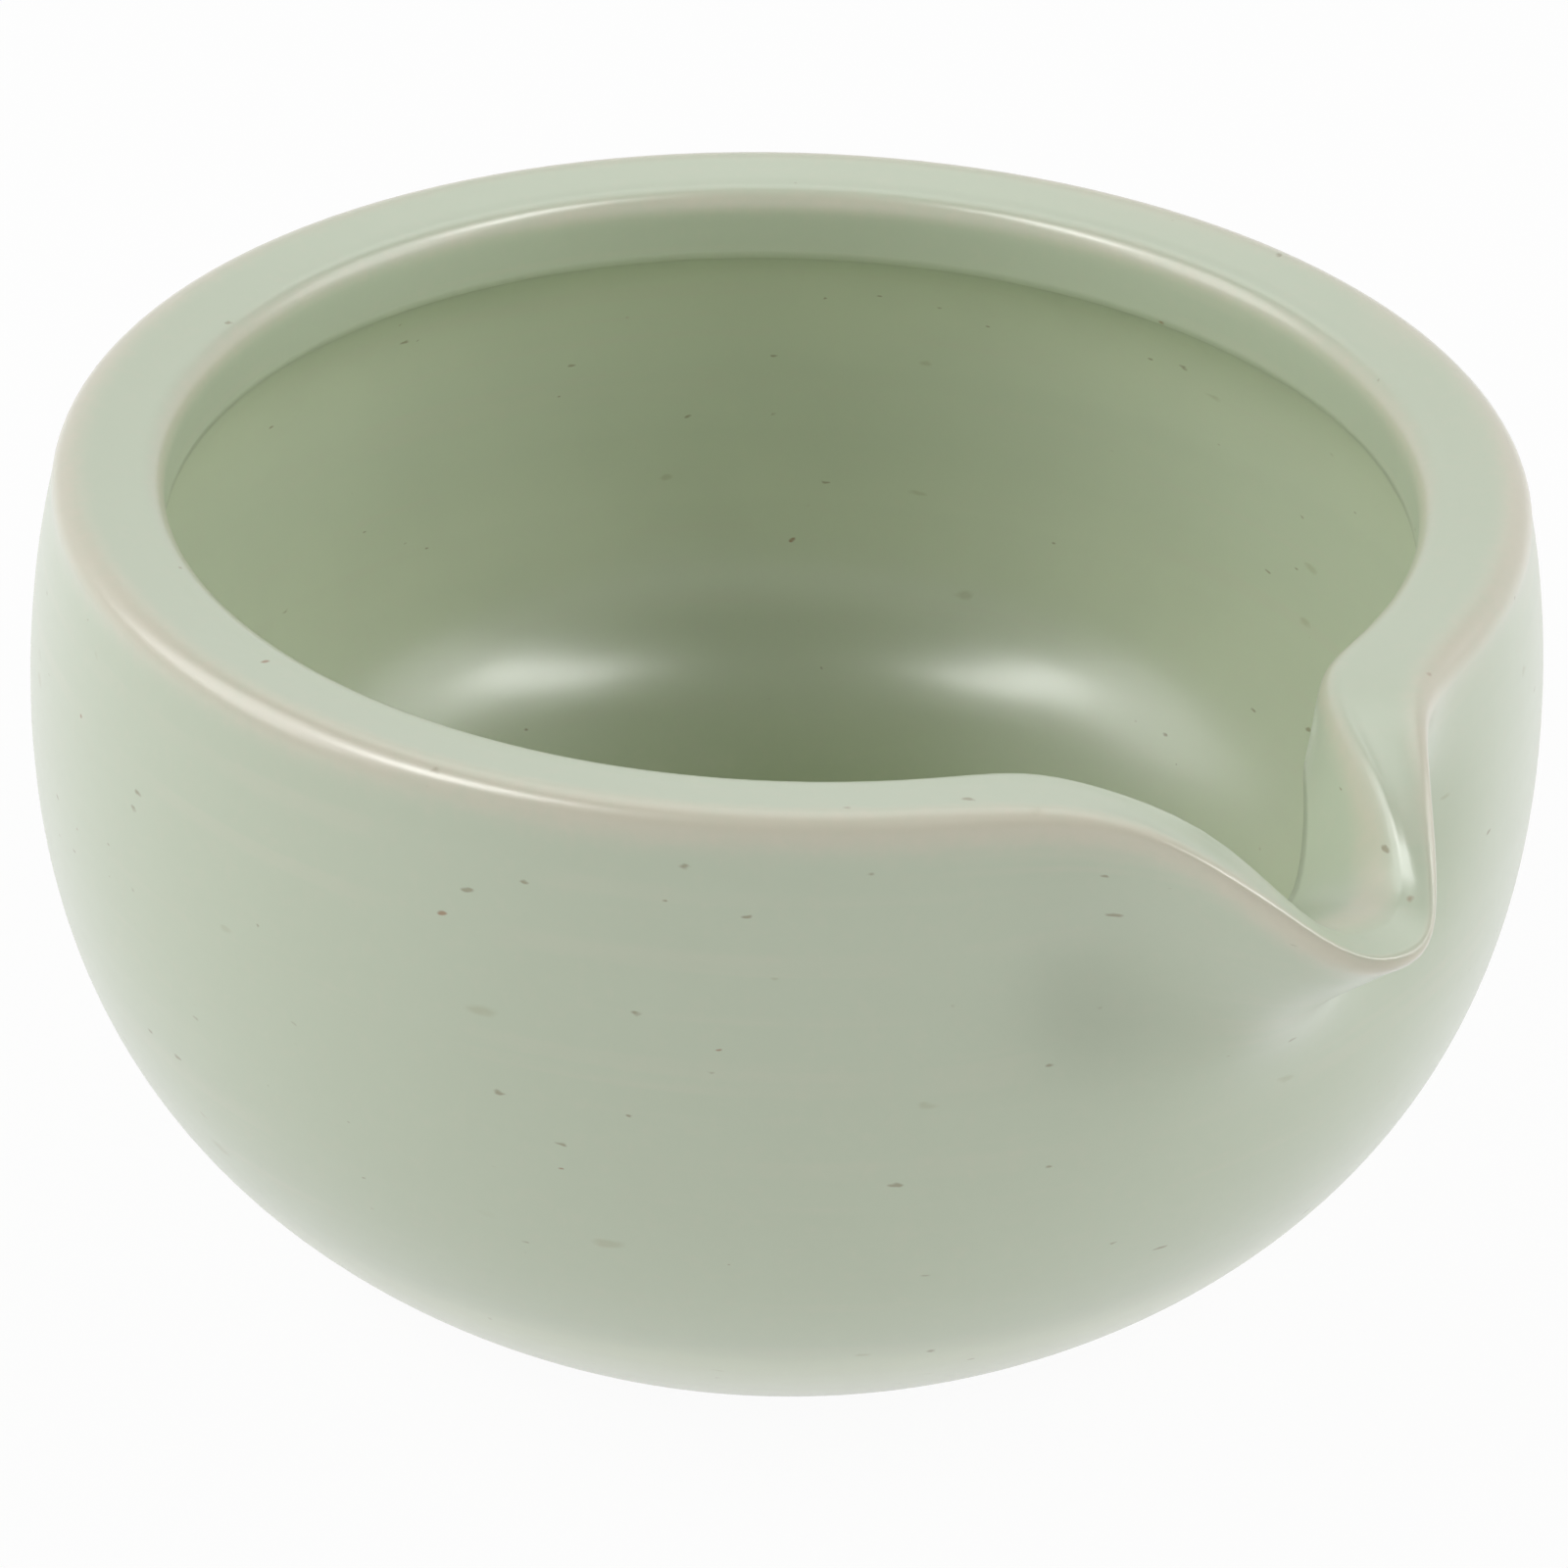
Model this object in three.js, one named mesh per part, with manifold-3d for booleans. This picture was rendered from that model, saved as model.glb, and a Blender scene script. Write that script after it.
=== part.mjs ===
// Spouted tea bowl. A stoneware body with a turned foot carries a glaze coat inside and out,
// and a second patch of glaze lies in the well under the foot. The foot itself is bare clay.
import * as THREE from "three";
import { mergeVertices } from "three/addons/utils/BufferGeometryUtils.js";
import Module from "manifold-3d";

const wasm = await Module();
wasm.setup();

// Sizes in millimetres. The bowl stands on z = 0, its wall turns about z and it pours towards +x.
const HEIGHT = 67;
const BELLY_RADIUS = 64.9;
const BELLY_HEIGHT = 42;
const FOOT_RADIUS = 45.2;
const RIM_RADIUS = 61.8;

const LIP_WIDTH = 9.2;
const LIP_ROUND = 2.4;
const LIP_FALL = 0.9;
const COLLAR_DEPTH = 8;
const COLLAR_LEAN = 0.4;
const UNDERCUT_DEPTH = 3.2;

const BELLY_WALL = 6.5;
const FLOOR_HEIGHT = 7;

const GLAZE = 0.9;
const GLAZE_LINE = 1.8;
const GLAZE_EDGE_FLARE = 1;
const SEAT_GAP = 0.3;

const FOOT_RING_WIDTH = 4.6;
const FOOT_CHAMFER = 0.5;
const WELL_DEPTH = 1.7;
const WELL_GLAZE = 0.6;

// The spout is pulled from the rim: how far it reaches and sinks, and how thick its pouring lip is.
const SPOUT_REACH = 18;
const SPOUT_TIP_LIP = 4.1;
const SPOUT_ROOT = 31;
const SPOUT_OUTER_SPREAD = 12.2;
const SPOUT_INNER_SPREAD = 9.6;
const SPOUT_OUTER_DROP = 7.7;
const SPOUT_INNER_DROP = 6.2;
const SPOUT_OUTER_DROP_SPREAD = 9.3;
const SPOUT_INNER_DROP_SPREAD = 6.4;

// The two hollows that finger and thumb leave on the wall beside the spout.
const HOLLOW_DEPTH = 2.2;
const HOLLOW_BESIDE = 14;
const HOLLOW_BELOW = 13;
const HOLLOW_REACH = 6.5;

// How square each edge of the spout is, seen from above and from the front, and how it fades down the wall.
const OUTER_SQUARENESS = { reach: 2.15, drop: 3, fade: 2.2 };
const INNER_SQUARENESS = { reach: 2.7, drop: 3.8, fade: 2.8 };

// Fullness of each curve: how far its handles reach, as a share of the stretch they round.
const BOWL_FULLNESS = { floor: 0.85, side: 0.3, shoulder: 0.6 };
const WALL_FULLNESS = { foot: 0.56, footRise: 0.22, belly: 0.5, shoulder: 0.35, rim: 0.27, rimFlare: 0.6 };

// Facets: columns round the wall, gathered at the spout, and steps along each stretch of profile.
const COLUMNS = 60;
const GATHER = 0.55;
const STEPS = { belly: 6, shoulder: 6, corner: 3, lipTop: 1, collar: 1, undercut: 3, bowl: 7 };

const CREAM_CLAY = new THREE.MeshStandardMaterial({ color: 0xcdb8a6, roughness: 0.9 });
const GREEN_GLAZE = new THREE.MeshStandardMaterial({ color: 0xb4bfa6, roughness: 0.4 });
const WELL_GREEN = new THREE.MeshStandardMaterial({ color: 0xaab79c, roughness: 0.4 });

const at = (radius, height) => new THREE.Vector2(radius, height);

// The finished surface from the middle of the floor, up the inside, over the lip and down to the glaze line.
function surfaceProfile() {
  const innerBelly = BELLY_RADIUS - BELLY_WALL;
  const innerRim = RIM_RADIUS - LIP_WIDTH;
  const innerEdge = HEIGHT - LIP_FALL;
  const collarRadius = innerRim + COLLAR_LEAN;
  const collarFoot = HEIGHT - COLLAR_DEPTH;
  const glazeEdge = FOOT_RADIUS + GLAZE + GLAZE_EDGE_FLARE;

  const hollow = BELLY_HEIGHT - FLOOR_HEIGHT;
  const neck = collarFoot - BELLY_HEIGHT;
  const rimCorner = HEIGHT - LIP_ROUND;
  const shoulder = rimCorner - BELLY_HEIGHT;
  const rise = BELLY_HEIGHT - GLAZE_LINE;
  const rimFlare = (BELLY_RADIUS - RIM_RADIUS) * WALL_FULLNESS.rimFlare;
  const footFlare = (BELLY_RADIUS - glazeEdge) * WALL_FULLNESS.foot;

  const stretches = [
    [STEPS.bowl, new THREE.CubicBezierCurve(
      at(0, FLOOR_HEIGHT),
      at(innerBelly * BOWL_FULLNESS.floor, FLOOR_HEIGHT),
      at(innerBelly, FLOOR_HEIGHT + hollow * BOWL_FULLNESS.side),
      at(innerBelly, BELLY_HEIGHT))],
    [STEPS.undercut, new THREE.CubicBezierCurve(
      at(innerBelly, BELLY_HEIGHT),
      at(innerBelly, BELLY_HEIGHT + neck * BOWL_FULLNESS.shoulder),
      at(collarRadius + UNDERCUT_DEPTH, collarFoot - UNDERCUT_DEPTH / 2),
      at(collarRadius, collarFoot))],
    [STEPS.collar, new THREE.LineCurve(
      at(collarRadius, collarFoot),
      at(innerRim, innerEdge - LIP_ROUND))],
    [STEPS.corner, new THREE.QuadraticBezierCurve(
      at(innerRim, innerEdge - LIP_ROUND),
      at(innerRim, innerEdge),
      at(innerRim + LIP_ROUND, innerEdge))],
    [STEPS.lipTop, new THREE.LineCurve(
      at(innerRim + LIP_ROUND, innerEdge),
      at(RIM_RADIUS - LIP_ROUND, HEIGHT))],
    [STEPS.corner, new THREE.QuadraticBezierCurve(
      at(RIM_RADIUS - LIP_ROUND, HEIGHT),
      at(RIM_RADIUS, HEIGHT),
      at(RIM_RADIUS, rimCorner))],
    [STEPS.shoulder, new THREE.CubicBezierCurve(
      at(RIM_RADIUS, rimCorner),
      at(RIM_RADIUS + rimFlare, rimCorner - shoulder * WALL_FULLNESS.rim),
      at(BELLY_RADIUS, BELLY_HEIGHT + shoulder * WALL_FULLNESS.shoulder),
      at(BELLY_RADIUS, BELLY_HEIGHT))],
    [STEPS.belly, new THREE.CubicBezierCurve(
      at(BELLY_RADIUS, BELLY_HEIGHT),
      at(BELLY_RADIUS, GLAZE_LINE + rise * WALL_FULLNESS.belly),
      at(glazeEdge + footFlare, GLAZE_LINE + rise * WALL_FULLNESS.footRise),
      at(glazeEdge, GLAZE_LINE))],
  ];
  const points = [at(0, FLOOR_HEIGHT)];
  for (const [steps, curve] of stretches) points.push(...curve.getSpacedPoints(steps).slice(1));
  return points;
}

// The same profile moved into the wall by a depth, square to the surface at each point.
function inset(points, depth) {
  return points.map((point, i) => {
    if (i === 0) return at(0, point.y - depth);
    const before = points[i - 1];
    const after = points[Math.min(i + 1, points.length - 1)];
    const along = after.clone().sub(before).normalize();
    return at(point.x + along.y * depth, point.y - along.x * depth);
  });
}

const smooth = (share) => share * share * (3 - 2 * share);
const held = (value) => Math.min(Math.max(value, 0), 1);

const bell = (offset, spread, squareness) => Math.exp(-Math.pow(Math.abs(offset) / spread, squareness));

// Moves a point of the turned wall as the potter's finger does when it pulls the spout out of the rim.
// The lip's two edges go different ways, and what lies between them is shared out across the lip.
function pullSpout(point) {
  const root = HEIGHT - SPOUT_ROOT;
  if (point.x <= 0 || point.z <= root) return point;
  const up = (point.z - root) / SPOUT_ROOT;
  const outer = {
    out: SPOUT_REACH * bell(point.y, SPOUT_OUTER_SPREAD, OUTER_SQUARENESS.reach)
      * Math.pow(up, OUTER_SQUARENESS.fade),
    down: SPOUT_OUTER_DROP * bell(point.y, SPOUT_OUTER_DROP_SPREAD, OUTER_SQUARENESS.drop) * smooth(up),
  };
  const inner = {
    out: (SPOUT_REACH + LIP_WIDTH - SPOUT_TIP_LIP)
      * bell(point.y, SPOUT_INNER_SPREAD, INNER_SQUARENESS.reach) * Math.pow(up, INNER_SQUARENESS.fade),
    down: SPOUT_INNER_DROP * bell(point.y, SPOUT_INNER_DROP_SPREAD, INNER_SQUARENESS.drop) * smooth(up),
  };
  const innerRim = RIM_RADIUS - LIP_WIDTH;
  const outward = smooth(held((Math.hypot(point.x, point.y) - innerRim) / LIP_WIDTH));
  const pressed = HOLLOW_DEPTH * outward
    * bell(Math.abs(point.y) - HOLLOW_BESIDE, HOLLOW_REACH, 2)
    * bell(HEIGHT - point.z - HOLLOW_BELOW, HOLLOW_REACH, 2);
  point.x += THREE.MathUtils.lerp(inner.out, outer.out, outward) - pressed;
  point.z -= THREE.MathUtils.lerp(inner.down, outer.down, outward);
  return point;
}

// Turns a closed profile about z, gathers its columns at the spout and pulls the spout out.
function throwOnWheel(profile) {
  const geometry = new THREE.LatheGeometry(profile.toReversed(), COLUMNS, Math.PI / 2);
  geometry.rotateX(Math.PI / 2);
  const place = geometry.getAttribute("position");
  const point = new THREE.Vector3();
  for (let i = 0; i < place.count; i++) {
    point.fromBufferAttribute(place, i);
    const turn = Math.atan2(point.y, point.x);
    const radius = Math.hypot(point.x, point.y);
    const gathered = turn - GATHER * Math.sin(turn);
    point.set(radius * Math.cos(gathered), radius * Math.sin(gathered), point.z);
    pullSpout(point);
    place.setXYZ(i, point.x, point.y, point.z);
  }
  geometry.computeVertexNormals();
  return geometry;
}

function solidOf(geometry) {
  const bare = new THREE.BufferGeometry();
  bare.setAttribute("position", geometry.getAttribute("position"));
  bare.setIndex(geometry.getIndex());
  const merged = mergeVertices(bare, 1e-4);
  return new wasm.Manifold(new wasm.Mesh({
    numProp: 3,
    vertProperties: merged.getAttribute("position").array,
    triVerts: new Uint32Array(merged.getIndex().array),
  }));
}

function geometryOf(solid) {
  const mesh = solid.getMesh();
  const geometry = new THREE.BufferGeometry();
  geometry.setAttribute("position", new THREE.BufferAttribute(mesh.vertProperties, mesh.numProp));
  geometry.setIndex(new THREE.BufferAttribute(mesh.triVerts, 1));
  geometry.computeVertexNormals();
  return geometry;
}

// The stoneware: the whole wall with its spout, the turned foot ring and the clay of the floor.
function clayBody(surface) {
  const wellCeiling = WELL_DEPTH + WELL_GLAZE + SEAT_GAP;
  const ringInside = FOOT_RADIUS - FOOT_RING_WIDTH;
  return throwOnWheel([
    ...inset(surface, GLAZE + SEAT_GAP),
    at(FOOT_RADIUS, FOOT_CHAMFER),
    at(FOOT_RADIUS - FOOT_CHAMFER, 0),
    at(ringInside + FOOT_CHAMFER, 0),
    at(ringInside, FOOT_CHAMFER),
    at(ringInside - FOOT_CHAMFER, wellCeiling),
    at(0, wellCeiling),
  ]);
}

// The green glass skin over the inside, the lip and the outside, ending in an edge above the foot.
function glazeCoat(surface) {
  const underside = inset(surface, GLAZE);
  const edge = underside.at(-1);
  const whole = throwOnWheel([...surface, at(0, GLAZE_LINE)]);
  const inside = throwOnWheel([...underside, at(edge.x, -GLAZE_LINE), at(0, -GLAZE_LINE)]);
  return geometryOf(solidOf(whole).subtract(solidOf(inside)));
}

// The patch of glaze in the well under the foot.
function footWellGlaze() {
  const radius = FOOT_RADIUS - FOOT_RING_WIDTH - FOOT_CHAMFER - SEAT_GAP;
  const top = WELL_DEPTH + WELL_GLAZE;
  const edge = WELL_GLAZE / 2;
  return throwOnWheel([
    at(0, top),
    at(radius, top),
    at(radius, WELL_DEPTH + edge),
    at(radius - edge, WELL_DEPTH),
    at(0, WELL_DEPTH),
  ]);
}

function named(name, geometry, material) {
  const mesh = new THREE.Mesh(geometry, material);
  mesh.name = name;
  return mesh;
}

const surface = surfaceProfile();
const bowl = new THREE.Group();
bowl.add(
  named("clay_body", clayBody(surface), CREAM_CLAY),
  named("glaze_coat", glazeCoat(surface), GREEN_GLAZE),
  named("foot_well_glaze", footWellGlaze(), WELL_GREEN),
);

// The origin lies on the table under the middle of the whole bowl, spout included.
const middle = new THREE.Box3().setFromObject(bowl).getCenter(new THREE.Vector3());
bowl.position.x = -middle.x;

export default bowl;
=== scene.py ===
"""Spouted tea bowl: a stoneware wall thrown on the wheel, dipped in a pale green satin glaze.

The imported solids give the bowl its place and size. Here the same wall is turned again with a fine
profile, its spout is pulled from the rim, and each surface gets its finish.
"""

from __future__ import annotations

import logging
import math
from dataclasses import dataclass, field
from enum import Enum
from typing import Optional, Sequence, Union

import bmesh
import bpy
from mathutils import Matrix, Vector
from mathutils.geometry import interpolate_bezier

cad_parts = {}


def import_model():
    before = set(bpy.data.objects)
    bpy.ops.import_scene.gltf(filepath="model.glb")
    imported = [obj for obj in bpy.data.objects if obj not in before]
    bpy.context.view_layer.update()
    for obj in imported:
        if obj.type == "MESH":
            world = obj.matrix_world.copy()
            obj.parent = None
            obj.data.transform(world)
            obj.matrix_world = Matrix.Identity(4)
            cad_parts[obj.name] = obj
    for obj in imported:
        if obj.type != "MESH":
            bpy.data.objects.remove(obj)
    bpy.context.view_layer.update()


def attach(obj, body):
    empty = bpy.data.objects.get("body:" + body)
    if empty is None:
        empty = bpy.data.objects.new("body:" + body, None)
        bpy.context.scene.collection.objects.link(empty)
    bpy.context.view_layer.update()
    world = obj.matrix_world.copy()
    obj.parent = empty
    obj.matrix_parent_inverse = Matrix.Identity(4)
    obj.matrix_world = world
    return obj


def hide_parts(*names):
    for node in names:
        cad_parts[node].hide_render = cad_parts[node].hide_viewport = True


log = logging.getLogger("tea_bowl")

MM = 0.001
BODY = "root"

Rgb = tuple[float, float, float]
Operand = Union["Field", float]


class Slot(Enum):
    """Names of the record's material slots."""

    CLAY = "bare_clay"
    GLAZE = "green_glaze"


class Trait(Enum):
    """Names of the values that each vertex of the glaze carries for its finish."""

    BREAK = "edge_break"
    # Inner walls painted lighter and a little greener: partly pooled glaze, partly painted light. The lower
    # outer wall takes some of the same colour.
    POOL_AND_LIGHT = "glaze_pool_and_painted_light"
    RIM = "foot_edge"
    # Where the inside floor is painted darker and greener: partly glaze pooled thick there, partly painted
    # shade at the bottom of the bowl.
    FLOOR_POOL_AND_SHADE = "floor_pool_and_shade"


def tone(red: int, green: int, blue: int) -> Rgb:
    """Turns a colour written as screen values into the linear one that shaders use.

    Args:
        red: red, 0 to 255.
        green: green, 0 to 255.
        blue: blue, 0 to 255.

    Returns:
        The linear colour, 0 to 1.
    """
    def linear(channel: int) -> float:
        share = channel / 255
        return share / 12.92 if share <= 0.04045 else ((share + 0.055) / 1.055) ** 2.4

    return linear(red), linear(green), linear(blue)


def eased(value: float) -> float:
    """Holds a value between 0 and 1 and eases both of its ends."""
    share = min(max(value, 0.0), 1.0)
    return share * share * (3 - 2 * share)


class Field:
    """A shader socket that takes part in Python arithmetic."""

    def __init__(self, bench: "Bench", socket: bpy.types.NodeSocket) -> None:
        """Keeps the socket and the bench that its sums are made on."""
        self.bench = bench
        self.socket = socket

    def __add__(self, other: Operand) -> "Field":
        """Adds a number or another field."""
        return self.bench.math("ADD", self, other)

    __radd__ = __add__

    def __sub__(self, other: Operand) -> "Field":
        """Takes a number or another field away."""
        return self.bench.math("SUBTRACT", self, other)

    def __rsub__(self, other: Operand) -> "Field":
        """Takes this field away from a number."""
        return self.bench.math("SUBTRACT", other, self)

    def __mul__(self, other: Operand) -> "Field":
        """Multiplies by a number or another field."""
        return self.bench.math("MULTIPLY", self, other)

    __rmul__ = __mul__

    def __truediv__(self, other: Operand) -> "Field":
        """Divides by a number or another field."""
        return self.bench.math("DIVIDE", self, other)

    def __rtruediv__(self, other: Operand) -> "Field":
        """Divides a number by this field."""
        return self.bench.math("DIVIDE", other, self)

    def between(self, low: float, high: float) -> "Field":
        """Rises smoothly from 0 at the low value to 1 at the high one.

        Args:
            low: the value that gives 0.
            high: the value that gives 1; it may lie under the low one.

        Returns:
            The eased field.
        """
        return self.bench.add(
            "ShaderNodeMapRange",
            {"interpolation_type": "SMOOTHSTEP"},
            {"Value": self, "From Min": low, "From Max": high},
        )


class Bench:
    """The node tree of one finish, with the few calls that its recipe needs."""

    def __init__(self, tree: bpy.types.NodeTree, material: Optional[bpy.types.Material] = None) -> None:
        """Clears a tree and keeps the material that it belongs to."""
        self.tree = tree
        self.material = material
        tree.nodes.clear()

    @classmethod
    def for_finish(cls, name: str) -> "Bench":
        """Starts a material.

        Args:
            name: the finish's name.

        Returns:
            Its bench.
        """
        material = bpy.data.materials.new(name)
        material.use_nodes = True
        return cls(material.node_tree, material)

    @classmethod
    def for_tree(cls, tree: bpy.types.NodeTree) -> "Bench":
        """Starts on a tree that isn't a material's."""
        return cls(tree)

    def add(
        self,
        kind: str,
        settings: Optional[dict[str, object]] = None,
        inputs: Optional[dict[Union[str, int], object]] = None,
        output: Union[str, int] = 0,
    ) -> Field:
        """Adds a node, sets it up and links it.

        Args:
            kind: the node's type.
            settings: its own settings.
            inputs: values or fields for its sockets, by name or place.
            output: the socket that the result stands for.

        Returns:
            The chosen output.
        """
        node = self.tree.nodes.new(kind)
        for key, value in (settings or {}).items():
            setattr(node, key, value)
        for key, value in (inputs or {}).items():
            socket = node.inputs[key]
            if isinstance(value, Field):
                self.tree.links.new(value.socket, socket)
            elif isinstance(value, tuple) and len(value) == 3 and socket.type == "RGBA":
                socket.default_value = (*value, 1.0)
            else:
                socket.default_value = value
        return Field(self, node.outputs[output])

    def math(self, operation: str, first: Operand, second: Operand) -> Field:
        """Adds one Math node."""
        return self.add("ShaderNodeMath", {"operation": operation}, {0: first, 1: second})

    def place(self) -> Field:
        """Gives each point's place on the bowl, in metres."""
        return self.add("ShaderNodeTexCoord", output="Object")

    def trait(self, trait: Trait) -> Field:
        """Reads a value that the mesh carries."""
        settings = {"attribute_type": "GEOMETRY", "attribute_name": trait.value}
        return self.add("ShaderNodeAttribute", settings, output="Fac")

    def noise(self, place: Field, scale: float, detail: float = 2.0, rough: float = 0.5) -> Field:
        """Adds a cloudy pattern.

        Args:
            place: where it is read.
            scale: clouds to the metre.
            detail: how many finer layers it has.
            rough: how strong those layers are.

        Returns:
            A field about 0.5.
        """
        inputs = {"Vector": place, "Scale": scale, "Detail": detail, "Roughness": rough}
        return self.add("ShaderNodeTexNoise", {}, inputs)

    def stretched(self, place: Field, x: float, y: float, z: float) -> Field:
        """Scales a place along the three axes."""
        return self.add("ShaderNodeMapping", {}, {"Vector": place, "Scale": (x, y, z)})

    def mix(self, share: Operand, under: Union[Field, Rgb], over: Union[Field, Rgb]) -> Field:
        """Lays one colour over another.

        Args:
            share: how much of the upper colour shows.
            under: the lower colour.
            over: the upper colour.

        Returns:
            The mixed colour.
        """
        node = self.tree.nodes.new("ShaderNodeMix")
        node.data_type = "RGBA"
        for index, value in ((0, share), (6, under), (7, over)):
            if isinstance(value, Field):
                self.tree.links.new(value.socket, node.inputs[index])
            else:
                node.inputs[index].default_value = (*value, 1.0) if index else value
        return Field(self, node.outputs[2])

    def bump(self, height: Field, strength: float, depth: float, under: Optional[Field] = None) -> Field:
        """Turns a height into a normal.

        Args:
            height: the relief.
            strength: how much of it shows.
            depth: its depth in metres.
            under: a normal that it lies on.

        Returns:
            The normal.
        """
        inputs: dict[Union[str, int], object] = {"Height": height, "Strength": strength, "Distance": depth}
        if under is not None:
            inputs["Normal"] = under
        return self.add("ShaderNodeBump", {}, inputs)

    def finish(self, shader: Field) -> bpy.types.Material:
        """Ends the tree in its output.

        Args:
            shader: the surface.

        Returns:
            The material.
        """
        node = self.tree.nodes.new("ShaderNodeOutputMaterial")
        self.tree.links.new(shader.socket, node.inputs["Surface"])
        return self.material


@dataclass(frozen=True)
class IronSpecks:
    """Fine brown specks of iron that melt through the glaze."""

    cells: float
    reach: float
    chance: float
    seed: float = 0.0
    wobble: float = 0.35
    wobble_scale: float = 2.4
    scatter: float = 0.62
    smallest: float = 0.5
    core: float = 0.35
    cut: float = 0.004

    def mask(self, bench: Bench, place: Field) -> Field:
        """Marks the specks.

        Args:
            bench: the finish being made.
            place: where the pattern is read.

        Returns:
            1 inside a speck and 0 outside.
        """
        drift = {"Vector": place, "Scale": self.cells * self.wobble_scale, "Detail": 2.0}
        warp = bench.add("ShaderNodeTexNoise", {}, drift, output="Color")
        spread = {0: warp, 1: (self.wobble / self.cells,) * 3, 2: place}
        shifted = bench.add("ShaderNodeVectorMath", {"operation": "MULTIPLY_ADD"}, spread)
        moved = bench.add("ShaderNodeVectorMath", {"operation": "ADD"}, {0: shifted, 1: (self.seed,) * 3})
        inputs = {"Vector": moved, "Scale": self.cells, "Randomness": self.scatter}
        distance = bench.add("ShaderNodeTexVoronoi", {}, inputs, output="Distance")
        colour = bench.add("ShaderNodeTexVoronoi", {}, inputs, output="Color")
        red = bench.add("ShaderNodeSeparateColor", {}, {0: colour}, output=0)
        green = bench.add("ShaderNodeSeparateColor", {}, {0: colour}, output=1)
        chosen = red.between(1 - self.chance, 1 - self.chance + self.cut)
        size = green * self.reach + self.reach * self.smallest
        return (distance / size).between(1.0, self.core) * chosen


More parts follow.
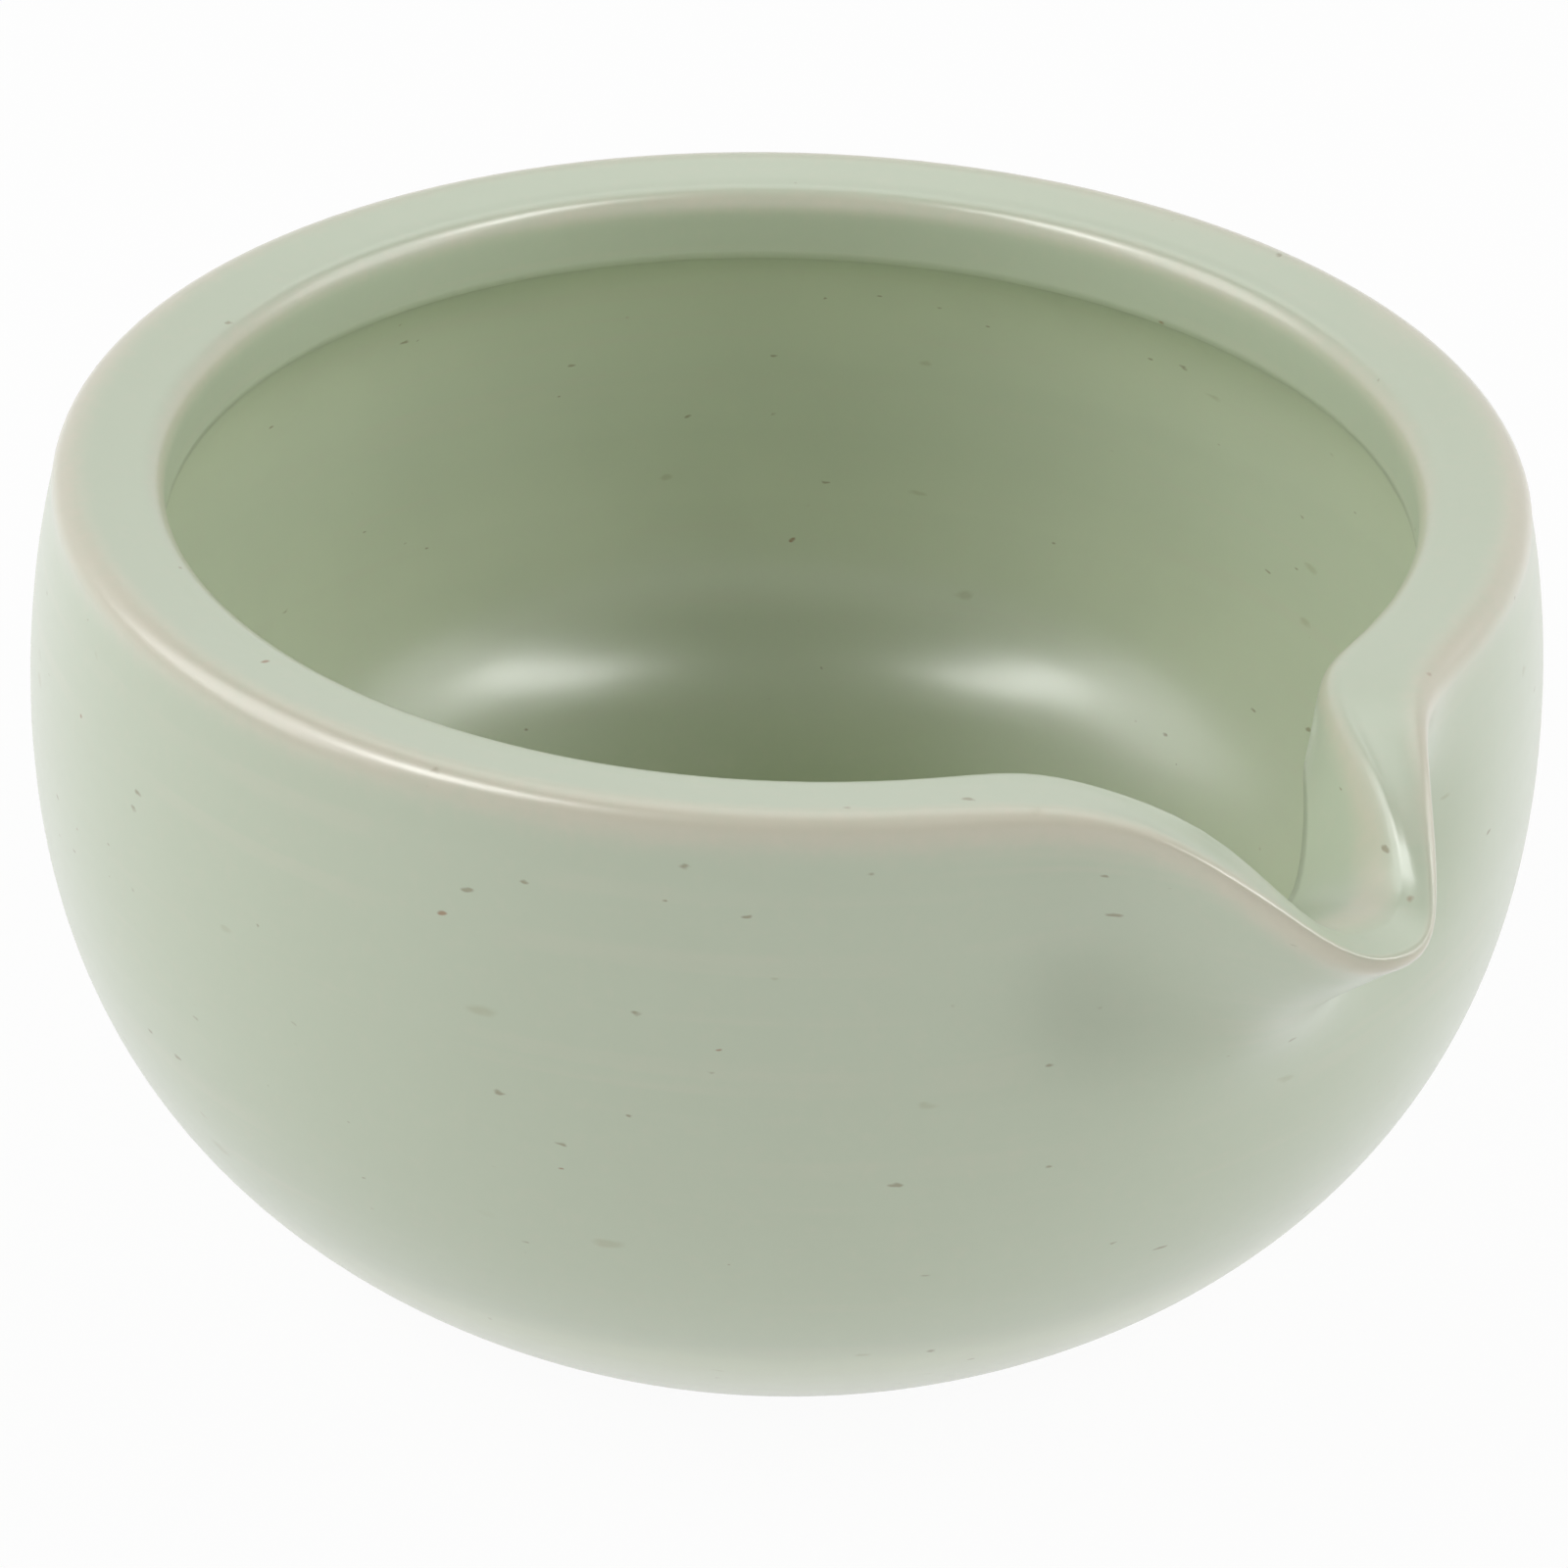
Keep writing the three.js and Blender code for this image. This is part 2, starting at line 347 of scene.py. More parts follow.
@dataclass(frozen=True)
class CeladonGlaze:
    """Pale green satin glaze that thins to cream on edges. Inside, its walls are painted lighter and a little
    greener, partly pooled glaze and partly painted light, and its floor darker green, partly pooled glaze and
    partly painted shade.
    """

    body: Rgb = tone(198, 209, 186)
    # Lighter, a little greener inner glaze: partly pooled glaze, partly painted light on the inside walls.
    pool_and_painted_light: Rgb = tone(212, 221, 195)
    # Darker green of the inside floor: partly thick pooled glaze, partly painted shade.
    pooled_and_shaded_floor: Rgb = tone(160, 176, 134)
    thin: Rgb = tone(218, 211, 192)
    speck: Rgb = tone(126, 106, 62)
    bloom: Rgb = tone(160, 158, 116)
    rust: Rgb = tone(150, 104, 60)
    trail: Rgb = tone(212, 212, 192)
    foot: Rgb = tone(222, 222, 208)
    rough: float = 0.31
    rough_grain: float = 0.06
    rough_clouds: float = 0.05
    coat: float = 0.8
    coat_rough: float = 0.27
    ior: float = 1.5
    body_left: float = 0.62
    pool_and_light_added: float = 0.30
    pooled_and_shaded_floor_share: float = 0.85
    cloud_scale: float = 55.0
    cloud_span: tuple[float, float] = (0.35, 0.7)
    cloud_share: float = 0.22
    grain_scale: float = 700.0
    grain_span: tuple[float, float] = (0.45, 0.8)
    grain_share: float = 0.12
    peel_scale: float = 420.0
    peel_strength: float = 0.18
    peel_depth: float = 0.12 * MM
    ring_scale: tuple[float, float, float] = (4.0, 4.0, 190.0)
    ring_span: tuple[float, float] = (0.5, 0.75)
    ring_share: float = 0.12
    ring_strength: float = 0.35
    ring_depth: float = 0.4 * MM
    trail_scale: tuple[float, float, float] = (9.0, 9.0, 520.0)
    trail_span: tuple[float, float] = (0.52, 0.66)
    trail_cloud_span: tuple[float, float] = (0.42, 0.62)
    trail_share: float = 0.24
    break_span: tuple[float, float] = (0.12, 0.95)
    break_share: float = 0.85
    break_clouds: float = 0.7
    break_grain: float = 0.5
    break_least: float = 0.35
    foot_share: float = 0.55
    speck_stretch: tuple[float, float, float] = (0.62, 0.62, 1.35)

    def material(self, name: str) -> bpy.types.Material:
        """Makes the glaze.

        Args:
            name: the material's name.

        Returns:
            The material.
        """
        bench = Bench.for_finish(name)
        place = bench.place()
        clouds = bench.noise(place, self.cloud_scale, 3.0)
        grain = bench.noise(place, self.grain_scale, 3.0, 0.6)
        bands = self._bands(bench, place)

        # Painted light: the inside walls take the lighter inner colour, which is partly pooled glaze.
        base = bench.mix(bench.trait(Trait.POOL_AND_LIGHT), self.body, self.pool_and_painted_light)
        # Painted shade: the inside floor turns darker green, partly as pooled glaze and partly as the shade
        # at the bottom of the bowl.
        base = bench.mix(bench.trait(Trait.FLOOR_POOL_AND_SHADE) * self.pooled_and_shaded_floor_share, base, self.pooled_and_shaded_floor)
        shaded = bench.mix(clouds.between(*self.cloud_span) * self.cloud_share, base, self._deeper())
        shaded = bench.mix(grain.between(*self.grain_span) * self.grain_share, shaded, self.thin)
        shaded = bench.mix(bands.between(*self.ring_span) * self.ring_share, shaded, self._deeper())
        trails = bench.noise(bench.stretched(place, *self.trail_scale), 1.0)
        lift = trails.between(*self.trail_span) * clouds.between(*self.trail_cloud_span)
        shaded = bench.mix(lift * self.trail_share, shaded, self.trail)
        uneven = clouds * self.break_clouds + grain * self.break_grain + self.break_least
        edge = bench.trait(Trait.BREAK) * uneven
        shaded = bench.mix(edge.between(*self.break_span) * self.break_share, shaded, self.thin)
        shaded = bench.mix(bench.trait(Trait.RIM) * self.foot_share, shaded, self.foot)
        shaded = self._speckle(bench, place, shaded)

        peel = bench.bump(bench.noise(place, self.peel_scale), self.peel_strength, self.peel_depth)
        relief = bench.bump(bands, self.ring_strength, self.ring_depth, peel)
        middle = (self.rough_grain + self.rough_clouds) / 2
        gloss = grain * self.rough_grain + clouds * self.rough_clouds + (self.rough - middle)
        shader = bench.add(
            "ShaderNodeBsdfPrincipled",
            {},
            {
                "Base Color": shaded,
                "Roughness": gloss,
                "Normal": relief,
                "IOR": self.ior,
                "Coat Weight": self.coat,
                "Coat Roughness": self.coat_rough,
            },
        )
        return bench.finish(shader)

    def _deeper(self) -> Rgb:
        """Gives the body colour where the glaze lies a little thicker."""
        pairs = zip(self.body, self.pool_and_painted_light)
        return tuple(body * self.body_left + pool_and_painted_light * self.pool_and_light_added for body, pool_and_painted_light in pairs)

    def _bands(self, bench: Bench, place: Field) -> Field:
        """Gives the faint level rings that the potter's fingers leave."""
        return bench.noise(bench.stretched(place, *self.ring_scale), 1.0)

    def _speckle(self, bench: Bench, place: Field, colour: Field) -> Field:
        """Lays the iron specks and their soft blooms over the glaze.

        Args:
            bench: the finish being made.
            place: where the patterns are read.
            colour: the glaze under them.

        Returns:
            The speckled colour.
        """
        level = bench.stretched(place, *self.speck_stretch)
        layers = (
            (IronSpecks(cells=230.0, reach=0.15, chance=0.14, seed=7.7), 0.30, self.bloom),
            (IronSpecks(cells=420.0, reach=0.105, chance=0.24), 0.55, self.speck),
            (IronSpecks(cells=200.0, reach=0.056, chance=0.15, seed=3.1), 0.72, self.rust),
        )
        for specks, strength, shade in layers:
            colour = bench.mix(specks.mask(bench, level) * strength, colour, shade)
        return colour


@dataclass(frozen=True)
class BareStoneware:
    """Unglazed buff clay with a fine sandy grain."""

    clay: Rgb = tone(222, 208, 196)
    sand: Rgb = tone(186, 160, 138)
    grit: Rgb = tone(128, 96, 70)
    rough: float = 0.88
    cloud_scale: float = 90.0
    grain_scale: float = 1600.0
    grain_depth: float = 0.15 * MM
    cloud_span: tuple[float, float] = (0.3, 0.75)
    cloud_share: float = 0.35
    grain_span: tuple[float, float] = (0.5, 0.8)
    grain_share: float = 0.30
    grit_share: float = 0.6

    def material(self, name: str) -> bpy.types.Material:
        """Makes the clay.

        Args:
            name: the material's name.

        Returns:
            The material.
        """
        bench = Bench.for_finish(name)
        place = bench.place()
        clouds = bench.noise(place, self.cloud_scale, 3.0)
        grain = bench.noise(place, self.grain_scale, 3.0, 0.7)
        grit = IronSpecks(cells=520.0, reach=0.16, chance=0.2, seed=1.3).mask(bench, place)
        colour = bench.mix(clouds.between(*self.cloud_span) * self.cloud_share, self.clay, self.sand)
        colour = bench.mix(grain.between(*self.grain_span) * self.grain_share, colour, self.sand)
        colour = bench.mix(grit * self.grit_share, colour, self.grit)
        relief = bench.bump(grain, 0.5, self.grain_depth)
        inputs = {"Base Color": colour, "Roughness": self.rough + grain * 0.08, "Normal": relief}
        return bench.finish(bench.add("ShaderNodeBsdfPrincipled", {}, inputs))


@dataclass(frozen=True)
class LipEdge:
    """How one edge of the lip is drawn into the spout, in metres. Squareness and fade are powers."""

    reach: float
    spread: float
    squareness: float
    fade: float
    drop: float
    drop_spread: float
    drop_squareness: float

    def shift(self, offset: float, up: float) -> Vector:
        """Gives the way that the edge goes.

        Args:
            offset: the distance beside the spout's middle.
            up: the share of the way from the spout's root to the rim.

        Returns:
            The shift, out along x and down.
        """
        out = self.reach * math.exp(-((abs(offset) / self.spread) ** self.squareness)) * up**self.fade
        down = self.drop * math.exp(-((abs(offset) / self.drop_spread) ** self.drop_squareness)) * eased(up)
        return Vector((out, 0.0, -down))


@dataclass(frozen=True)
class Spout:
    """The lip drawn out by a finger, each edge its own way."""

    root: float = 31 * MM
    hollow_depth: float = 3.2 * MM
    hollow_beside: float = 13.6 * MM
    hollow_below: float = 13 * MM
    hollow_reach: float = 7.4 * MM
    outer: LipEdge = LipEdge(18 * MM, 12.2 * MM, 2.15, 2.2, 7.7 * MM, 9.3 * MM, 3.0)
    inner: LipEdge = LipEdge(23.1 * MM, 9.6 * MM, 2.7, 2.8, 6.2 * MM, 6.4 * MM, 3.8)

    def pull(self, point: Vector, wall: "Wall") -> Vector:
        """Moves a point of the turned wall to where the pulled lip takes it.

        Args:
            point: a point of the turned wall.
            wall: the wall that the spout is pulled from.

        Returns:
            The moved point.
        """
        low = wall.height - self.root
        if point.x <= 0 or point.z <= low:
            return point
        up = (point.z - low) / self.root
        inner_rim = wall.rim_radius - wall.lip_width
        outward = eased((math.hypot(point.x, point.y) - inner_rim) / wall.lip_width)
        moved = point + self.inner.shift(point.y, up).lerp(self.outer.shift(point.y, up), outward)
        beside = (abs(point.y) - self.hollow_beside) / self.hollow_reach
        below = (wall.height - point.z - self.hollow_below) / self.hollow_reach
        pressed = self.hollow_depth * math.exp(-(beside**2) - below**2) * outward
        return moved - Vector((pressed, 0.0, 0.0))


@dataclass(frozen=True)
class EdgeBreak:
    """How far the glaze thins round an edge, in metres, and how much of it goes, from 0 to 1."""

    width: float
    strength: float

    def share(self, gap: float) -> float:
        """Gives the thinning at a distance from the edge."""
        return self.strength * math.exp(-((gap / self.width) ** 2))


@dataclass(frozen=True)
class Wall:
    """The thrown wall. Lengths are in metres, from the table up and from the wheel's axis out."""

    height: float = 67 * MM
    belly_radius: float = 64.9 * MM
    belly_height: float = 42 * MM
    foot_radius: float = 45.2 * MM
    rim_radius: float = 61.8 * MM
    lip_width: float = 9.2 * MM
    lip_round: float = 2.4 * MM
    lip_fall: float = 0.9 * MM
    collar_depth: float = 8 * MM
    collar_lean: float = 0.4 * MM
    undercut: float = 3.2 * MM
    belly_wall: float = 6.5 * MM
    floor_height: float = 7 * MM
    glaze: float = 0.9 * MM
    glaze_line: float = 1.8 * MM
    edge_flare: float = 1 * MM
    ring_width: float = 4.6 * MM
    ring_chamfer: float = 0.5 * MM
    corner_cut: float = 0.3
    well_depth: float = 1.7 * MM
    well_glaze: float = 0.6 * MM
    seat_gap: float = 0.3 * MM
    outer_break: EdgeBreak = EdgeBreak(2.1 * MM, 0.92)
    inner_break: EdgeBreak = EdgeBreak(1.5 * MM, 0.66)
    collar_break: EdgeBreak = EdgeBreak(0.9 * MM, 0.25)
    foot_break: EdgeBreak = EdgeBreak(0.9 * MM, 1.0)
    # Where the lighter inner colour begins and fades. That colour is partly pooled glaze, partly painted
    # light.
    inside_margin: float = 1.5 * MM
    inside_fade: float = 2.5 * MM
    pool_and_light_rise: float = 2 * MM
    pool_and_light_rise_fade: float = 5 * MM
    run_height: float = 16 * MM
    run_fade: float = 14 * MM
    run_share: float = 0.25
    # Where the inside floor's darker green, partly pooled glaze and partly painted shade, begins and fades
    # out.
    floor_pool_and_shade_radius: float = 50 * MM
    floor_pool_and_shade_fade: float = 22 * MM
    bowl_fullness: dict[str, float] = field(
        default_factory=lambda: {"floor": 0.85, "side": 0.3, "shoulder": 0.6}
    )
    wall_fullness: dict[str, float] = field(
        default_factory=lambda: {
            "foot": 0.56, "foot_rise": 0.22, "belly": 0.5, "shoulder": 0.35, "rim": 0.27, "rim_flare": 0.6,
            "lip": 0.62,
        }
    )
    steps: dict[str, int] = field(
        default_factory=lambda: {
            "bowl": 30, "undercut": 14, "collar": 6, "corner": 9, "lip": 6, "shoulder": 14, "belly": 26,
        }
    )

    def surface(self) -> list[Vector]:
        """Gives the finished profile, from the middle of the floor over the lip to the glaze line.

        Returns:
            Points in the plane of x and z.
        """
        inner_belly = self.belly_radius - self.belly_wall
        inner_rim = self.rim_radius - self.lip_width
        inner_edge = self.height - self.lip_fall
        collar = inner_rim + self.collar_lean
        collar_foot = self.height - self.collar_depth
        glaze_edge = self.foot_radius + self.glaze + self.edge_flare
        hollow = self.belly_height - self.floor_height
        neck = collar_foot - self.belly_height
        corner = self.height - self.lip_round
        shoulder = corner - self.belly_height
        rise = self.belly_height - self.glaze_line
        inner, outer = self.bowl_fullness, self.wall_fullness
        rim_flare = (self.belly_radius - self.rim_radius) * outer["rim_flare"]
        foot_flare = (self.belly_radius - glaze_edge) * outer["foot"]
        round_in = self.lip_round * outer["lip"]
        lip_in = (inner_rim + self.lip_round, inner_edge)
        lip_out = (self.rim_radius - self.lip_round, self.height)
        collar_top = (inner_rim, inner_edge - self.lip_round)
        crease = (collar, collar_foot)
        belly = (self.belly_radius, self.belly_height)
        widest = (inner_belly, self.belly_height)
        outer_corner = (self.rim_radius, corner)
        stretches = (
            ("bowl", (0.0, self.floor_height), (inner_belly * inner["floor"], self.floor_height),
             (inner_belly, self.floor_height + hollow * inner["side"]), widest),
            ("undercut", widest, (inner_belly, self.belly_height + neck * inner["shoulder"]),
             (collar + self.undercut, collar_foot - self.undercut / 2), crease),
            ("collar", *self._straight(crease, collar_top)),
            ("corner", collar_top, (inner_rim, collar_top[1] + round_in),
             (lip_in[0] - round_in, inner_edge), lip_in),
            ("lip", *self._straight(lip_in, lip_out)),
            ("corner", lip_out, (lip_out[0] + round_in, self.height),
             (self.rim_radius, corner + round_in), outer_corner),
            ("shoulder", outer_corner, (self.rim_radius + rim_flare, corner - shoulder * outer["rim"]),
             (self.belly_radius, self.belly_height + shoulder * outer["shoulder"]), belly),
            ("belly", belly, (self.belly_radius, self.glaze_line + rise * outer["belly"]),
             (glaze_edge + foot_flare, self.glaze_line + rise * outer["foot_rise"]),
             (glaze_edge, self.glaze_line)),
        )
        points = [Vector((0.0, 0.0, self.floor_height))]
        for name, *knots in stretches:
            curve = [Vector((radius, 0.0, height)) for radius, height in knots]
            points += interpolate_bezier(*curve, self.steps[name] + 1)[1:]
        return points

    def _straight(self, start: Sequence[float], end: Sequence[float]) -> list[tuple[float, float]]:
        """Gives a straight stretch's two ends with its two handles between them."""
        out, up = end[0] - start[0], end[1] - start[1]
        return [(start[0] + out * share, start[1] + up * share) for share in (0, 1 / 3, 2 / 3, 1)]

    def inset(self, points: Sequence[Vector], depth: float) -> list[Vector]:
        """Moves a profile into the wall, square to itself.

        Args:
            points: the profile, from the axis outwards.
            depth: how far it moves.

        Returns:
            The moved profile.
        """
        moved = [points[0] - Vector((0.0, 0.0, depth))]
        for i in range(1, len(points)):
            along = (points[min(i + 1, len(points) - 1)] - points[i - 1]).normalized()
            moved.append(points[i] + Vector((along.z, 0.0, -along.x)) * depth)
        return moved

    def traits(self, point: Vector) -> dict[Trait, float]:
        """Says how the glaze lies at a point of the turned wall, before the spout is pulled.

        Args:
            point: the point.

        Returns:
            A value from 0 to 1 for each trait.
        """
        radius = math.hypot(point.x, point.y)
        inner_rim = self.rim_radius - self.lip_width
        inner_edge = self.height - self.lip_fall
        outer_corner = (self.rim_radius - self.lip_round * 0.45, self.height - self.lip_round * 0.35)
        inner_corner = (inner_rim + self.lip_round * 0.2, inner_edge - self.lip_round * 0.5)
        crease = (inner_rim + self.collar_lean, self.height - self.collar_depth)
        edge = max(
            self.outer_break.share(math.dist((radius, point.z), outer_corner)),
            self.inner_break.share(math.dist((radius, point.z), inner_corner)),
            self.collar_break.share(math.dist((radius, point.z), crease)),
        )
        inner_belly = self.belly_radius - self.belly_wall
        # Inside walls below the collar take the lighter inner colour, partly pooled glaze and partly painted
        # light. The lower outer wall takes a little of it too.
        inside = eased((inner_belly + self.inside_margin - radius) / self.inside_fade)
        below = eased((self.height - self.collar_depth + self.pool_and_light_rise - point.z) / self.pool_and_light_rise_fade)
        run = eased((self.run_height - point.z) / self.run_fade) * self.run_share * (1 - inside)
        foot = self.foot_break.share(point.z - self.glaze_line) * (1 - inside)
        # The inside floor's darker green: partly pooled glaze, partly painted shade.
        pooled_and_shaded_floor = inside * eased((self.floor_pool_and_shade_radius - radius) / self.floor_pool_and_shade_fade)
        return {
            Trait.BREAK: edge,
            Trait.POOL_AND_LIGHT: max(inside * below, run),
            Trait.RIM: foot,
            Trait.FLOOR_POOL_AND_SHADE: pooled_and_shaded_floor,
        }


@dataclass
class ThrownBowl:
    """The bowl: stoneware wall, glaze coat and the glaze in the foot's well."""

    wall: Wall = field(default_factory=Wall)
    spout: Spout = field(default_factory=Spout)
    axis_x: float = -6.837 * MM
    columns: int = 192
    gather: float = 0.55

    def build(self) -> list[bpy.types.Object]:
        """Makes every piece and dresses it.

        Returns:
            The pieces.
        """
        surface = self.wall.surface()
        glaze = CeladonGlaze()
        coat = self._throw("glaze_skin", surface + self.wall.inset(surface, self.wall.glaze)[::-1])
        self._dress(coat, glaze.material("celadon_glaze"), "glaze_coat")
        body = self._throw("stoneware_body", self._clay_profile(surface))
        self._dress(body, BareStoneware().material("bare_stoneware"), "clay_body")
        well = self._throw("foot_well_skin", self._well_profile())
        self._dress(well, glaze.material("well_glaze"), "foot_well_glaze")
        return [coat, body, well]

    def _clay_profile(self, surface: Sequence[Vector]) -> list[Vector]:
        """Gives the stoneware's profile: under the glaze, then round the turned foot."""
        wall = self.wall
        ceiling = wall.well_depth + wall.well_glaze + wall.seat_gap
        ring_inside = wall.foot_radius - wall.ring_width
        cut = wall.ring_chamfer * wall.corner_cut
        foot = (
            (wall.foot_radius, wall.ring_chamfer),
            (wall.foot_radius - cut, cut),
            (wall.foot_radius - wall.ring_chamfer, 0.0),
            (ring_inside + wall.ring_chamfer, 0.0),
            (ring_inside + cut, cut),
            (ring_inside, wall.ring_chamfer),
            (ring_inside - wall.ring_chamfer, ceiling),
            (0.0, ceiling),
        )
        return wall.inset(surface, wall.glaze) + [Vector((radius, 0.0, height)) for radius, height in foot]

    def _well_profile(self) -> list[Vector]:
        """Gives the profile of the glaze in the well."""
        wall = self.wall
        radius = wall.foot_radius - wall.ring_width - wall.ring_chamfer - wall.seat_gap
        top = wall.well_depth + wall.well_glaze
        edge = wall.well_glaze / 2
        cut = edge * wall.corner_cut
        corners = (
            (0.0, top),
            (radius, top),
            (radius, wall.well_depth + edge),
            (radius - cut, wall.well_depth + cut),
            (radius - edge, wall.well_depth),
            (0.0, wall.well_depth),
        )
        return [Vector((r, 0.0, height)) for r, height in corners]

    def _throw(self, name: str, profile: Sequence[Vector]) -> bpy.types.Object:
        """Turns a profile on the wheel and pulls the spout out of it.

        Args:
            name: the piece's name.
            profile: a line from the axis, round the wall's section and back to the axis.

        Returns:
            The piece.
        """
        bm = bmesh.new()
        line = [bm.verts.new(point) for point in profile]
        edges = [bm.edges.new(pair) for pair in zip(line, line[1:])]
        bmesh.ops.spin(
            bm, geom=line + edges, cent=(0, 0, 0), axis=(0, 0, 1), angle=math.tau,
            steps=self.columns, use_merge=True,
        )
        bmesh.ops.remove_doubles(bm, verts=bm.verts, dist=1e-7)
        bmesh.ops.recalc_face_normals(bm, faces=bm.faces)
        layers = {trait: bm.verts.layers.float.new(trait.value) for trait in Trait}
        for vert in bm.verts:
            for trait, value in self.wall.traits(vert.co).items():
                vert[layers[trait]] = value
            vert.co = self.spout.pull(self._gathered(vert.co), self.wall)
        for face in bm.faces:
            face.smooth = True
        bmesh.ops.translate(bm, verts=bm.verts, vec=(self.axis_x, 0, 0))
        mesh = bpy.data.meshes.new(name)
        bm.to_mesh(mesh)
        bm.free()
        piece = bpy.data.objects.new(name, mesh)
        bpy.context.scene.collection.objects.link(piece)
        return piece

    def _gathered(self, point: Vector) -> Vector:
        """Turns a point towards the spout, so that the columns lie closer there."""
        turn = math.atan2(point.y, point.x)
        return Matrix.Rotation(-self.gather * math.sin(turn), 3, "Z") @ point

    def _dress(self, piece: bpy.types.Object, material: bpy.types.Material, node: str) -> None:
        """Gives a piece its finish and its place in the frame.

        Args:
            piece: the piece.
            material: its finish.
            node: the solid that it stands for.
        """
        piece.data.materials.append(material)
        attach(piece, BODY)
        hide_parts(node)
        log.info("%s stands for %s with %d faces", piece.name, node, len(piece.data.polygons))


@dataclass(frozen=True)
class SoftBox:
    """A flat lamp that points at the bowl."""

    name: str
    azimuth: float
    elevation: float
    distance: float
    width: float
    height: float
    power: float
    gleam_only: bool = False

    def hang(self, target: Vector) -> bpy.types.Object:
        """Hangs the lamp.

        Args:
            target: the point that it faces.

        Returns:
            The lamp.
        """
        data = bpy.data.lights.new(self.name, "AREA")
        data.shape = "RECTANGLE"
        data.size = self.width
        data.size_y = self.height
        data.energy = self.power
        lamp = bpy.data.objects.new(self.name, data)
        turn, rise = math.radians(self.azimuth), math.radians(self.elevation)
        away = Vector((math.cos(turn) * math.cos(rise), math.sin(turn) * math.cos(rise), math.sin(rise)))
        lamp.location = target + away * self.distance
        lamp.rotation_mode = "QUATERNION"
        lamp.rotation_quaternion = (-away).to_track_quat("-Z", "Y")
        lamp.visible_diffuse = not self.gleam_only
        bpy.context.scene.collection.objects.link(lamp)
        return lamp


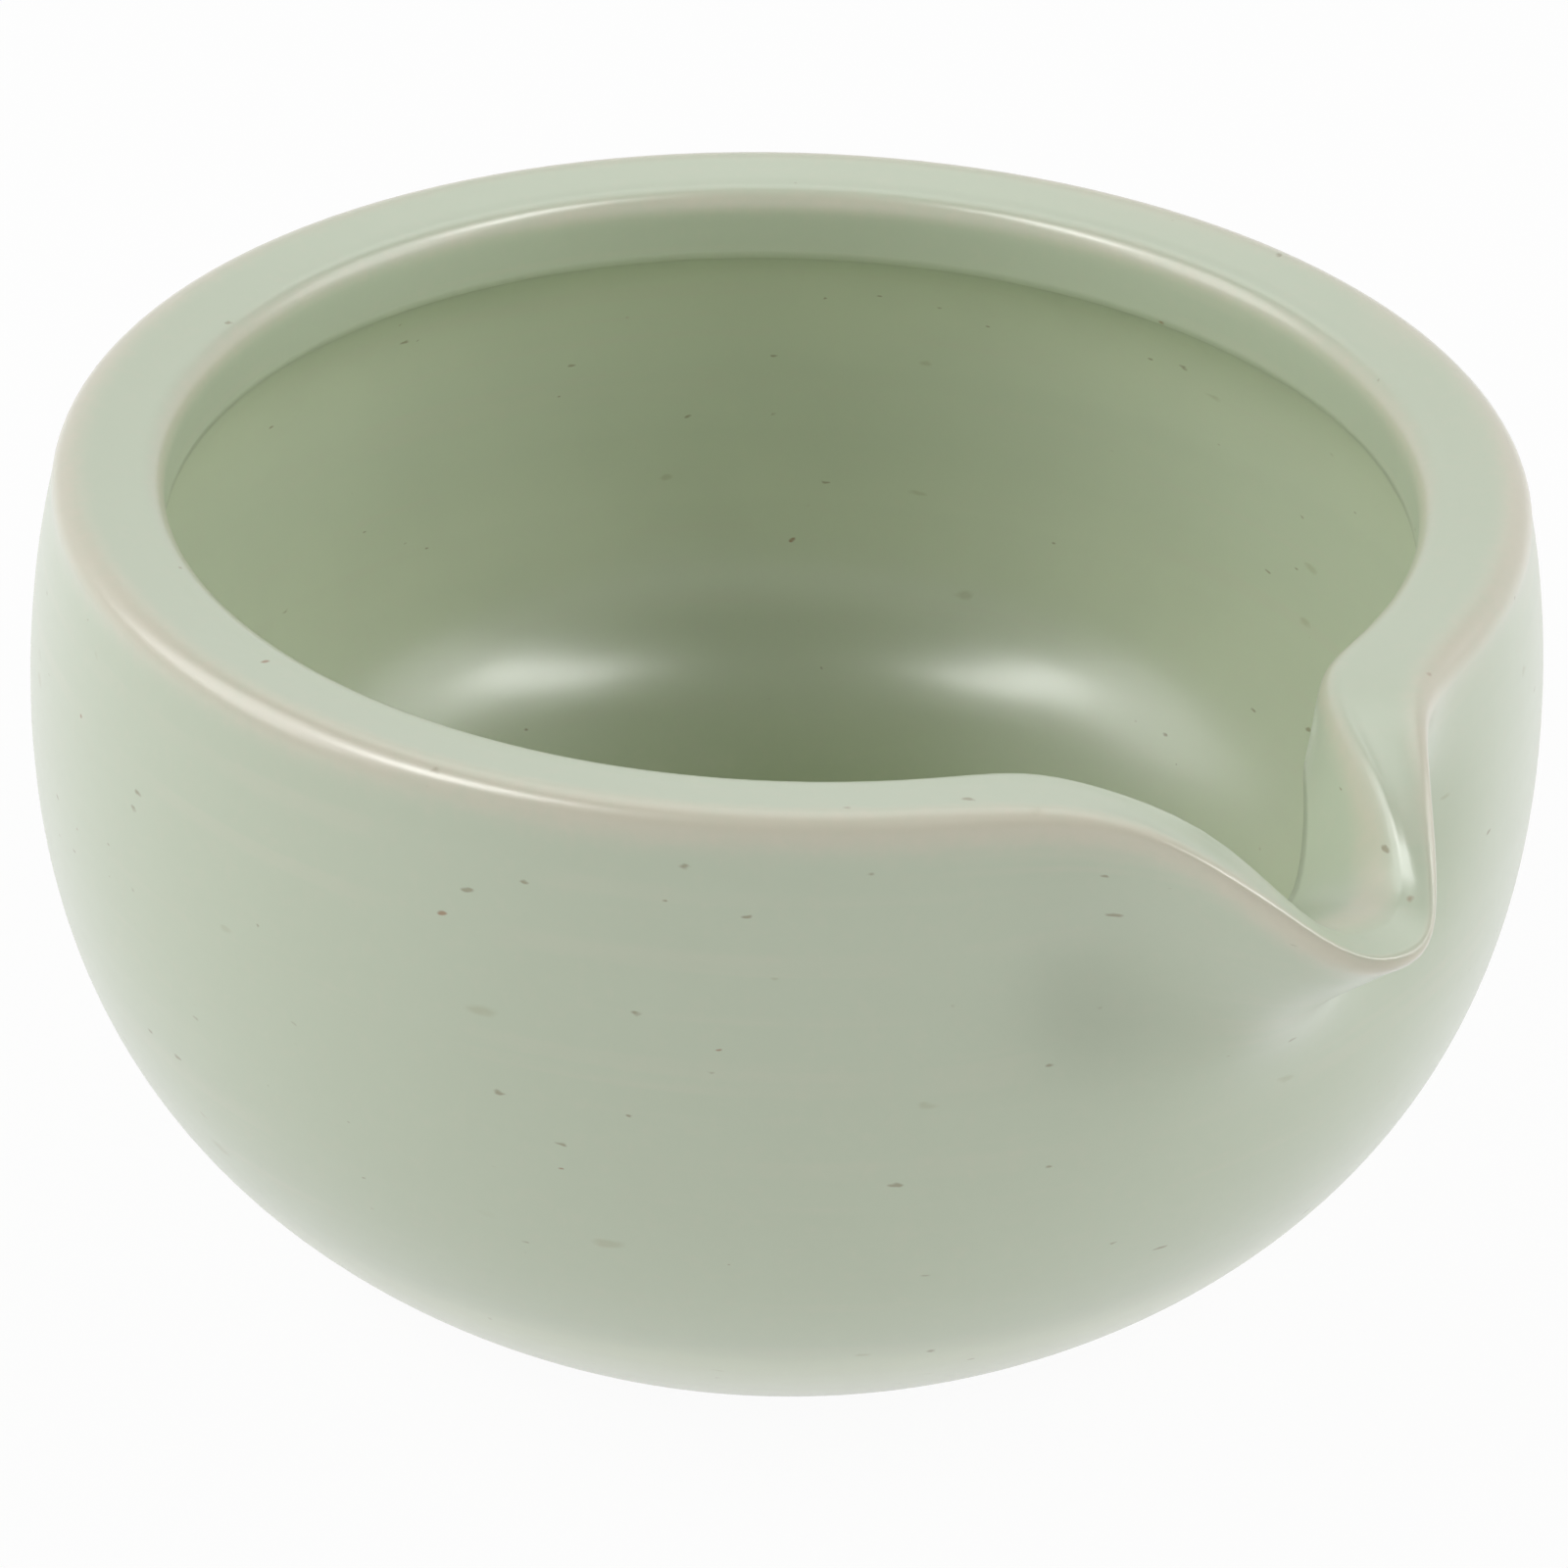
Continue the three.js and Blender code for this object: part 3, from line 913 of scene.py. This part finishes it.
@dataclass(frozen=True)
class Studio:
    """White floor, soft light and the camera at the photograph's angle."""

    target: Vector = field(default_factory=lambda: Vector((-6.837 * MM, 0.0, 35 * MM)))
    azimuth: float = -34.8
    elevation: float = 31.54
    distance: float = 346.46 * MM
    lens: float = 89.95
    roll: float = 1.78
    shift_y: float = -0.018
    wall_light: float = 0.76
    ceiling_light: float = 0.08
    sky_span: tuple[float, float] = (0.88, 0.42)
    shade_elevation: float = 66.0
    shade_span: tuple[float, float] = (0.80, 0.98)
    shade_strength: float = 0.55
    floor_reach: float = 3.0
    floor_drop: float = 0.02 * MM
    floor_white: float = 0.95
    gloss_white: float = 0.9
    boxes: tuple[SoftBox, ...] = (
        SoftBox("left_high", -107.0, 59.0, 0.75, 0.13, 0.30, 1.35, True),
        SoftBox("right_high", 44.0, 59.0, 0.75, 0.13, 0.30, 1.3, True),
        SoftBox("left_wide", -125.0, 38.0, 0.85, 0.60, 0.60, 3.0),
        SoftBox("right_wide", 58.0, 38.0, 0.85, 0.60, 0.60, 2.4),
        SoftBox("back_high", 145.0, 58.0, 0.85, 0.50, 0.50, 1.0),
    )

    def build(self) -> None:
        """Sets up everything that isn't the bowl."""
        self._floor()
        self._world()
        for box in self.boxes:
            box.hang(self.target)
        self._camera()
        bpy.context.scene.view_settings.view_transform = "Standard"

    def _floor(self) -> None:
        """Lays the floor, which shows white and keeps a soft shadow."""
        bm = bmesh.new()
        bmesh.ops.create_grid(bm, x_segments=1, y_segments=1, size=self.floor_reach)
        bmesh.ops.translate(bm, verts=bm.verts, vec=(0, 0, -self.floor_drop))
        mesh = bpy.data.meshes.new("studio_floor")
        bm.to_mesh(mesh)
        bm.free()
        floor = bpy.data.objects.new("studio_floor", mesh)
        bpy.context.scene.collection.objects.link(floor)
        bench = Bench.for_finish("floor_paper")
        paper = bench.add("ShaderNodeBsdfDiffuse", {}, {"Color": (0.82, 0.82, 0.81)})
        white = bench.add("ShaderNodeEmission", {}, {"Color": (1.0, 1.0, 1.0), "Strength": 1.0})
        seen = self._seen(bench)
        mixed = bench.add("ShaderNodeMixShader", {}, {0: seen * self.floor_white, 1: paper, 2: white})
        floor.data.materials.append(bench.finish(mixed))

    def _seen(self, bench: Bench) -> Field:
        """Gives 1 to rays from the camera or through glass, and nearly so to rays off a gloss."""
        camera = bench.add("ShaderNodeLightPath", output="Is Camera Ray")
        glossy = bench.add("ShaderNodeLightPath", output="Is Glossy Ray")
        through = bench.add("ShaderNodeLightPath", output="Is Transmission Ray")
        return bench.math("MAXIMUM", bench.math("MAXIMUM", camera, glossy * self.gloss_white), through)

    def _world(self) -> None:
        """Makes the room: light walls, a dark ceiling, and white behind the bowl."""
        world = bpy.data.worlds.new("studio_room")
        world.use_nodes = True
        bpy.context.scene.world = world
        bench = Bench.for_tree(world.node_tree)
        way = bench.add("ShaderNodeTexCoord", output="Generated")
        height = bench.add("ShaderNodeSeparateXYZ", {}, {0: way}, output="Z")
        turn, rise = math.radians(self.azimuth), math.radians(self.shade_elevation)
        towards = (math.cos(turn) * math.cos(rise), math.sin(turn) * math.cos(rise), math.sin(rise))
        dot = {"operation": "DOT_PRODUCT"}
        facing = bench.add("ShaderNodeVectorMath", dot, {0: way, 1: towards}, output="Value")
        shade = 1 - facing.between(*self.shade_span) * self.shade_strength
        open_sky = height.between(*self.sky_span) * shade
        level = open_sky * (self.wall_light - self.ceiling_light) + self.ceiling_light
        room = bench.add("ShaderNodeBackground", {}, {"Color": (1.0, 1.0, 0.985), "Strength": level})
        white = bench.add("ShaderNodeBackground", {}, {"Color": (1.0, 1.0, 1.0), "Strength": 1.0})
        seen = bench.add("ShaderNodeLightPath", output="Is Camera Ray")
        mixed = bench.add("ShaderNodeMixShader", {}, {0: seen, 1: room, 2: white})
        output = bench.tree.nodes.new("ShaderNodeOutputWorld")
        bench.tree.links.new(mixed.socket, output.inputs["Surface"])

    def _camera(self) -> None:
        """Puts the camera where the photograph was taken from."""
        data = bpy.data.cameras.new("photo_camera")
        data.lens = self.lens
        data.sensor_width = 36.0
        data.shift_y = self.shift_y
        data.clip_start = 0.01
        data.clip_end = 20.0
        camera = bpy.data.objects.new("photo_camera", data)
        turn, rise = math.radians(self.azimuth), math.radians(self.elevation)
        away = Vector((math.cos(turn) * math.cos(rise), math.sin(turn) * math.cos(rise), math.sin(rise)))
        camera.location = self.target + away * self.distance
        camera.rotation_mode = "QUATERNION"
        facing = (-away).to_track_quat("-Z", "Y")
        camera.rotation_quaternion = facing @ Matrix.Rotation(math.radians(self.roll), 3, "Z").to_quaternion()
        bpy.context.scene.collection.objects.link(camera)
        bpy.context.scene.camera = camera


def main() -> None:
    """Builds the bowl round the frame, then the studio."""
    logging.basicConfig(level=logging.INFO, format="%(message)s")
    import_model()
    ThrownBowl().build()
    Studio().build()
    bpy.context.view_layer.update()


if __name__ == "__main__":
    main()
